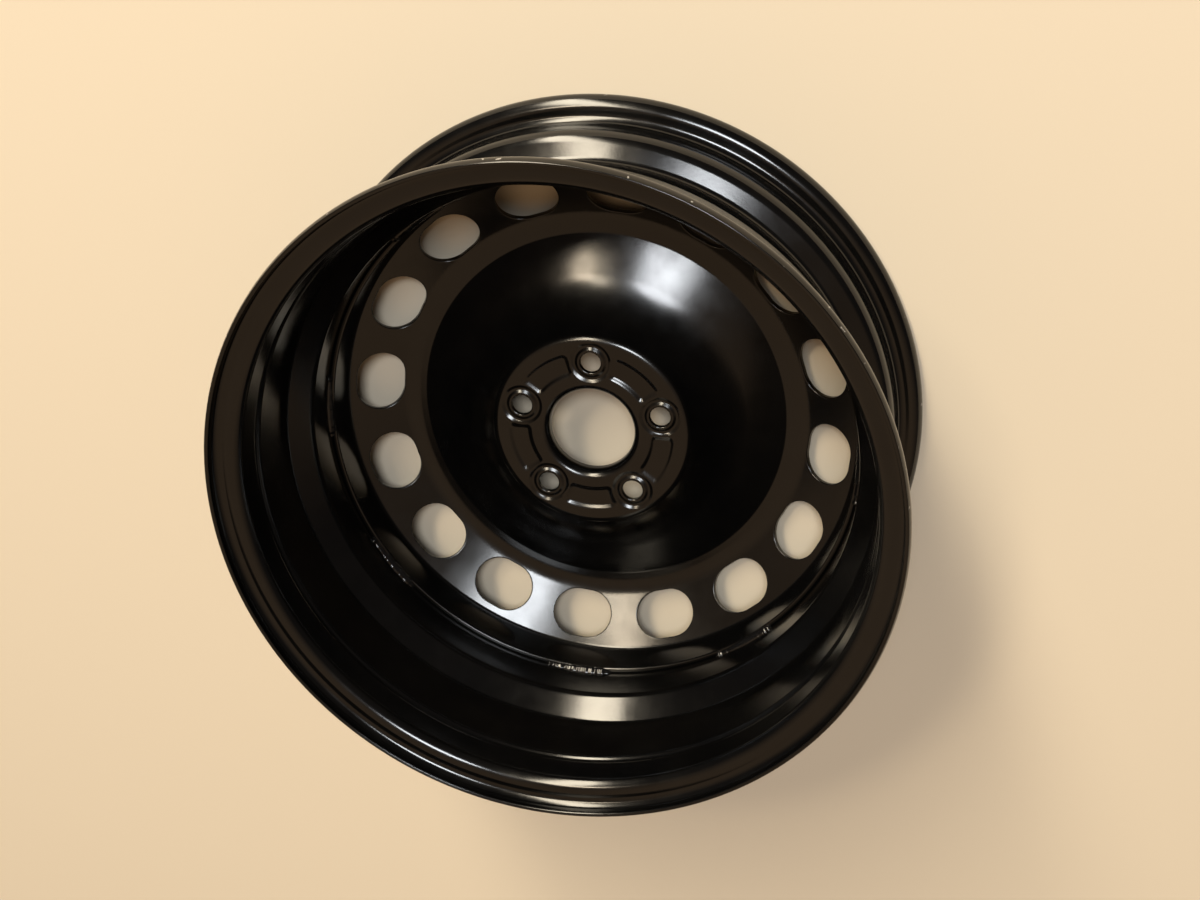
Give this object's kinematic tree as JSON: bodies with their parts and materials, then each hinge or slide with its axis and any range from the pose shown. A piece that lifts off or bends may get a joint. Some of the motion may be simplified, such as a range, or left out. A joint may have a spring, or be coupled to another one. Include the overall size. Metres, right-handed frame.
{
  "type": "steel wheel rim",
  "caption": "Pressed steel road wheel: a rolled drop-centre rim welded to a vented disc with a flat hub pad, centre bore, bolt holes and a valve hole.",
  "frame": {"origin": "centre of the hub mounting face, on the wheel's axis", "axes": "+Z along the wheel's axis, from the hub mounting face towards the vehicle; a bolt hole and a vent hole lie on +X; the wheel lies on its street-side flange"},
  "size_m": [0.4712, 0.471, 0.1956],
  "materials": {
    "rim_paint": "gloss black dip paint on rolled sheet",
    "disc_paint": "gloss black dip paint on pressed sheet",
    "weld_paint": "gloss black dip paint over rough weld"
  },
  "bodies": {
    "root": {"rim": "rim_paint", "disc": "disc_paint", "weld_beads": "weld_paint"}
  },
  "joints": []
}
